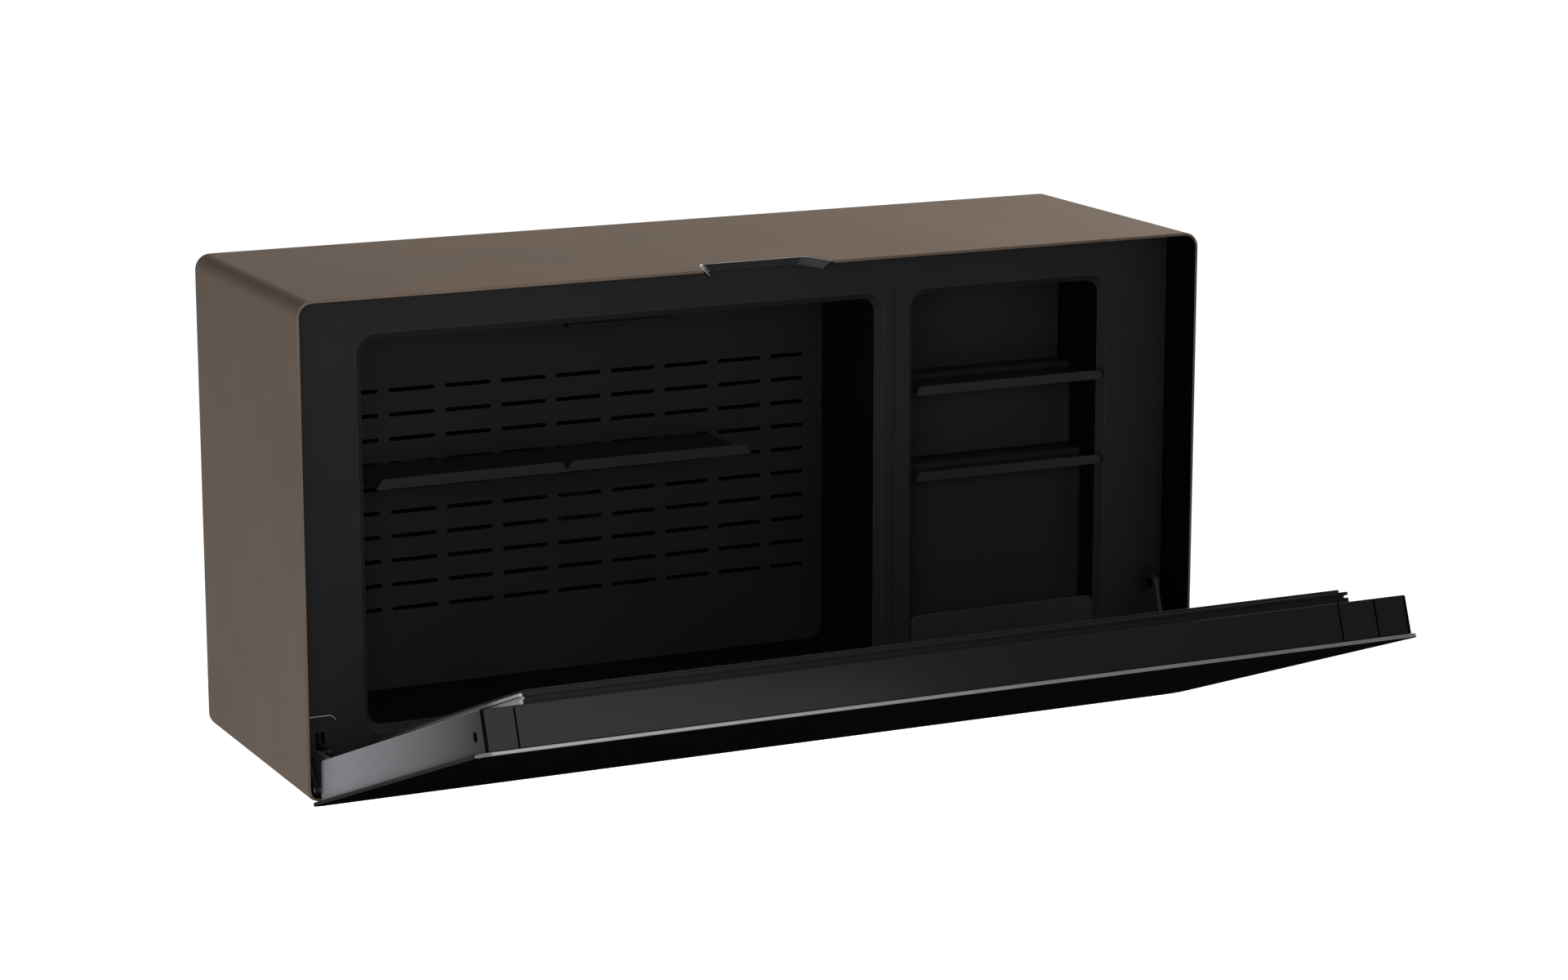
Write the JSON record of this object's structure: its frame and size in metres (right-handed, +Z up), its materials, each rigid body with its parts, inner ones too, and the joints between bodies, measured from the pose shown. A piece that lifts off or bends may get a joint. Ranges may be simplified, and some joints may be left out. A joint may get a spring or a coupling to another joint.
{
  "type": "glass door minibar fridge",
  "caption": "Wall-hung wide minibar fridge with a drop-down glass door, a cold bay with bottle shelf and slotted duct panel, and a dry bay with shelves and pocket.",
  "frame": {"origin": "centre of the casing's back face, on the wall", "axes": "+X right as seen from the room, +Y into the wall, +Z up"},
  "size_m": [1, 0.76, 0.5064],
  "materials": {
    "brown_coat": "matte",
    "black_coat": "satin",
    "black_moulding": "satin",
    "black_plastic": "satin",
    "seal_rubber": "matte",
    "zinc_steel": "satin",
    "sink_alloy": "satin",
    "dark_glass": "gloss",
    "foam": "matte",
    "module_ceramic": "satin",
    "circuit_board": "satin",
    "lamp_lens": "satin"
  },
  "bodies": {
    "cabinet": {"outer_casing": "brown_coat", "rear_panel": "brown_coat", "bottle_shelf": "black_coat", "dry_shelf_upper": "black_coat", "dry_shelf_lower": "black_coat", "pocket_panel": "black_coat", "hinge_cover_left": "black_coat", "hinge_cover_right": "black_coat", "front_fascia": "black_moulding", "duct_panel": "black_moulding", "finger_cup": "black_plastic", "fridge_liner": "black_plastic", "dry_liner": "black_plastic", "dry_step_cover": "black_plastic", "lamp_housing": "black_plastic", "cold_fan_frame": "black_plastic", "hot_fan_frame": "black_plastic", "power_inlet": "black_plastic", "hanger_plate_left": "zinc_steel", "hanger_plate_right": "zinc_steel", "hinge_bracket_left": "zinc_steel", "hinge_bracket_right": "zinc_steel", "hinge_pin_left": "zinc_steel", "hinge_pin_right": "zinc_steel", "stay_bracket": "zinc_steel", "stay_pivot_pin": "zinc_steel", "link_guide": "zinc_steel", "power_supply": "zinc_steel", "cold_sink": "sink_alloy", "hot_sink": "sink_alloy", "insulation_ring": "foam", "insulation_back": "foam", "peltier_module": "module_ceramic", "control_board": "circuit_board", "lamp_lens": "lamp_lens"},
    "door": {"door_glass": "dark_glass", "door_side_plate_left": "zinc_steel", "door_side_plate_right": "zinc_steel", "door_edge_left": "black_coat", "door_edge_main": "black_coat", "door_edge_inner": "black_coat", "door_edge_right": "black_coat", "door_lower_rail": "black_coat", "door_core": "foam", "door_inner_panel": "black_moulding", "door_inner_rim": "black_moulding", "door_seal": "seal_rubber", "door_hinge_arm_left": "zinc_steel", "door_hinge_arm_right": "zinc_steel", "stay_guide_pin": "zinc_steel", "link_front_pin": "zinc_steel"},
    "stay": {"stay_arm": "black_coat"},
    "link": {"guide_link": "zinc_steel", "link_rear_pin": "zinc_steel"},
    "cold_rotor": {"cold_fan_rotor": "black_plastic"},
    "hot_rotor": {"hot_fan_rotor": "black_plastic"}
  },
  "joints": [
    {"name": "door_hinge", "type": "hinge", "parent": "cabinet", "child": "door", "pos_m": [0, -0.2997, -0.2407], "axis": [-1, 0, 0], "range_deg": [0, 69.55]},
    {"name": "stay_pivot", "type": "hinge", "parent": "cabinet", "child": "stay", "pos_m": [0.474, -0.278, -0.1355], "axis": [1, 0, 0], "range_deg": [0, 20.8]},
    {"name": "link_pivot", "type": "hinge", "parent": "door", "child": "link", "pos_m": [-0.468, -0.28554, -0.20702], "axis": [1, 0, 0], "range_deg": [0, 69.6]},
    {"name": "cold_fan_spin", "type": "hinge", "parent": "cabinet", "child": "cold_rotor", "pos_m": [-0.13145, -0.1185, 0], "axis": [0, 1, 0], "continuous": true},
    {"name": "hot_fan_spin", "type": "hinge", "parent": "cabinet", "child": "hot_rotor", "pos_m": [-0.13145, -0.014, 0], "axis": [0, 1, 0], "continuous": true}
  ],
  "couplings": [
    {"joint": "stay_pivot", "follows": "door_hinge", "ratio": 0.2986},
    {"joint": "link_pivot", "follows": "door_hinge", "ratio": 1}
  ]
}
